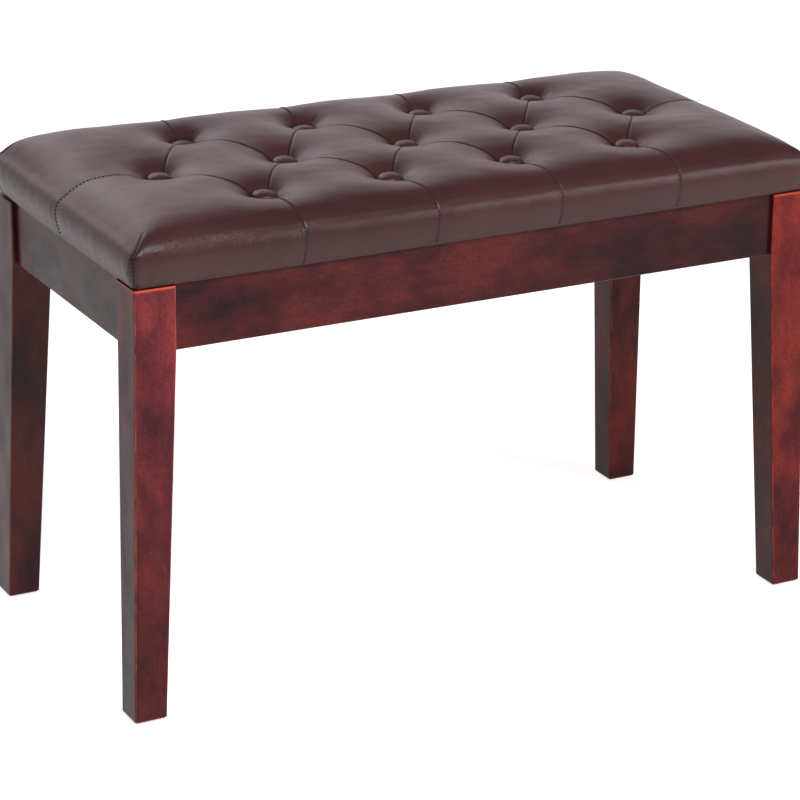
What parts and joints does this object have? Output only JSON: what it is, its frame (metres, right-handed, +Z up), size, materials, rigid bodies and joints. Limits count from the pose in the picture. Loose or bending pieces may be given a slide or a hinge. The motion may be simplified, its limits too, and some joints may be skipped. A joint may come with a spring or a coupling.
{
  "type": "piano bench",
  "caption": "Rectangular wooden piano bench with tapered square legs, a button-tufted leather cushion, and a hinged seat lifting over a shallow music compartment.",
  "frame": {"origin": "on the floor, under the middle of the seat", "axes": "+X along the bench to the right as seen from the front, +Y from the front to the hinged back, +Z up"},
  "size_m": [0.78, 0.374, 0.504],
  "materials": {
    "lacquered_wood": "satin",
    "plain_wood": "matte",
    "plywood": "matte",
    "leather": "satin",
    "foam": "matte",
    "felt": "matte",
    "dust_cloth": "matte",
    "twine": "matte",
    "steel": "satin",
    "brass": "satin",
    "nylon": "matte"
  },
  "bodies": {
    "frame": {"front_left_leg": "lacquered_wood", "front_right_leg": "lacquered_wood", "back_left_leg": "lacquered_wood", "back_right_leg": "lacquered_wood", "front_left_corner_block": "plain_wood", "front_right_corner_block": "plain_wood", "back_left_corner_block": "plain_wood", "back_right_corner_block": "plain_wood", "front_apron": "lacquered_wood", "back_apron": "lacquered_wood", "left_apron": "lacquered_wood", "right_apron": "lacquered_wood", "storage_floor": "plywood", "apron_dowels": "plain_wood", "corner_block_screws": "steel", "hanger_bolts": "steel", "hanger_washers": "steel", "hanger_nuts": "steel", "foot_glides": "nylon", "hinge_frame_leaves": "brass", "hinge_frame_screws": "brass", "hinge_pins": "brass", "stay_base_bracket": "steel", "stay_base_screws": "steel"},
    "seat": {"seat_board": "plywood", "foam_pad": "foam", "leather_cover": "leather", "tufting_buttons": "leather", "tufting_twine": "twine", "tufting_toggles": "nylon", "dust_cover": "dust_cloth", "upholstery_staples": "steel", "lid_felt_pads": "felt", "hinge_lid_leaves": "brass", "hinge_lid_screws": "brass", "stay_lid_bracket": "steel", "stay_lid_screws": "steel"},
    "lower_stay_arm": {"stay_lower_arm": "steel", "stay_elbow_rivet": "steel"},
    "upper_stay_arm": {"stay_upper_arm": "steel"}
  },
  "joints": [
    {"name": "lid_hinge", "type": "hinge", "parent": "frame", "child": "seat", "pos_m": [0, 0.1835, 0.44335], "axis": [-1, 0, 0], "range_deg": [0, 85]},
    {"name": "stay_base_pivot", "type": "hinge", "parent": "frame", "child": "lower_stay_arm", "pos_m": [0.353, 0.0635, 0.40635], "axis": [-1, 0, 0], "range_deg": [0, 85]},
    {"name": "stay_lid_pivot", "type": "hinge", "parent": "seat", "child": "upper_stay_arm", "pos_m": [0.35, 0.0485, 0.43535], "axis": [-1, 0, 0], "range_deg": [-85, 0]}
  ],
  "couplings": [
    {"joint": "stay_base_pivot", "follows": "lid_hinge", "ratio": 1},
    {"joint": "stay_lid_pivot", "follows": "lid_hinge", "ratio": -1}
  ]
}
